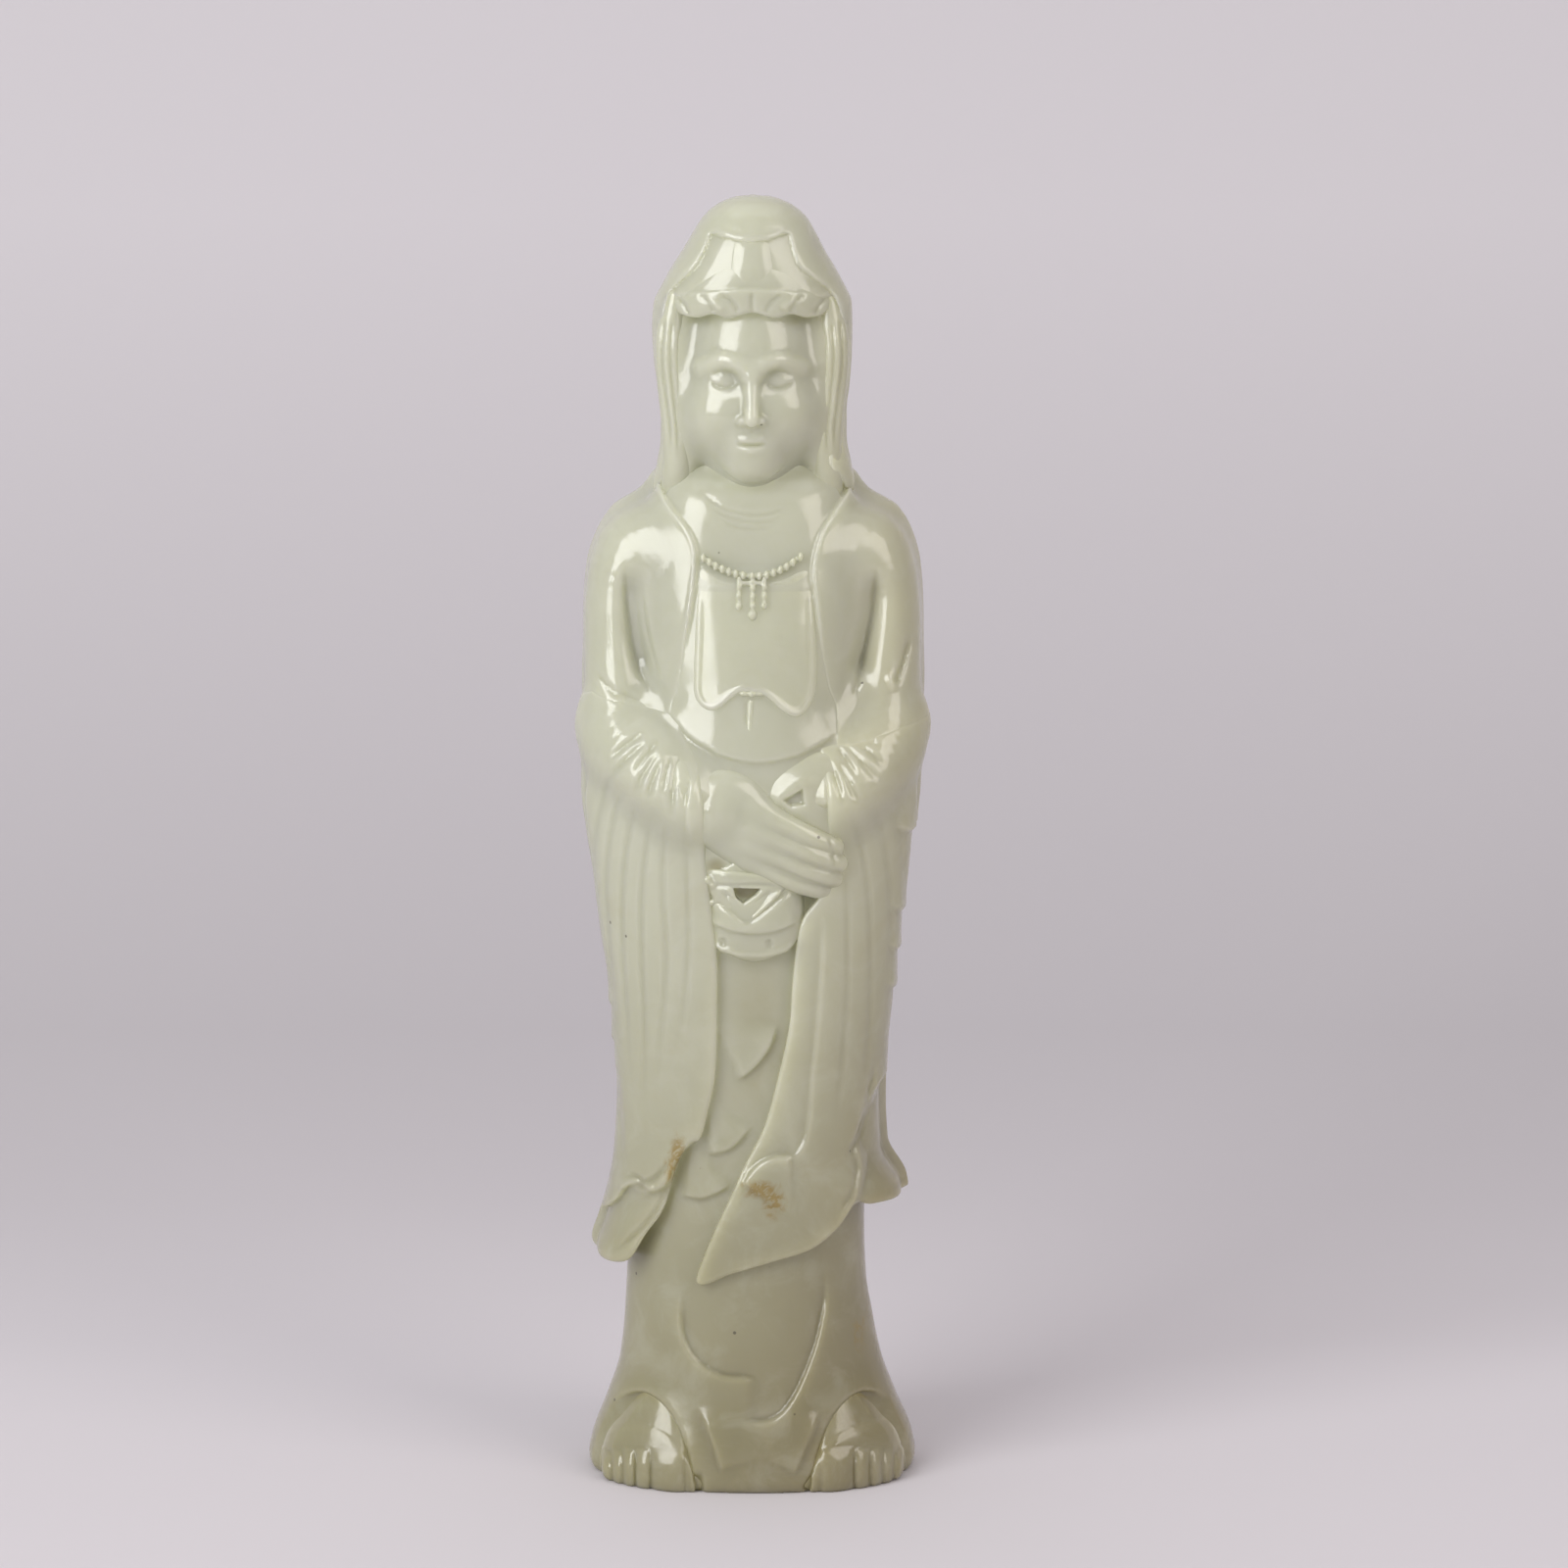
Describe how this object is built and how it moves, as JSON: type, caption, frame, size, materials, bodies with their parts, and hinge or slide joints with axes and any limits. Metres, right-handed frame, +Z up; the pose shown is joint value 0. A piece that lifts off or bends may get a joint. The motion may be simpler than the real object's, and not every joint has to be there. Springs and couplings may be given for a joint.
{
  "type": "jade figurine",
  "caption": "Slender standing robed figure with a hooded head and crossed hands holding a small basket, carved in pale green jade, on a flat base.",
  "frame": {"origin": "centre of the flat underside", "axes": "+Z up through the figure, -Y the way it faces, +X towards its own left hand"},
  "size_m": [0.0484, 0.0344, 0.18],
  "materials": {
    "jade": "hand polished, pale grey-green, slightly translucent"
  },
  "bodies": {
    "root": {"right_hand": "jade", "left_hand": "jade", "basket": "jade", "basket_handle": "jade", "necklace": "jade", "pendant": "jade", "waist_bow": "jade", "waist_tie": "jade", "head": "jade", "hair_band": "jade", "topknot": "jade", "right_hair_lock": "jade", "left_hair_lock": "jade", "hood": "jade", "bodice": "jade", "mantle": "jade", "torso": "jade", "right_sleeve": "jade", "left_sleeve": "jade", "right_foot": "jade", "left_foot": "jade", "lower_robe": "jade"}
  },
  "joints": []
}
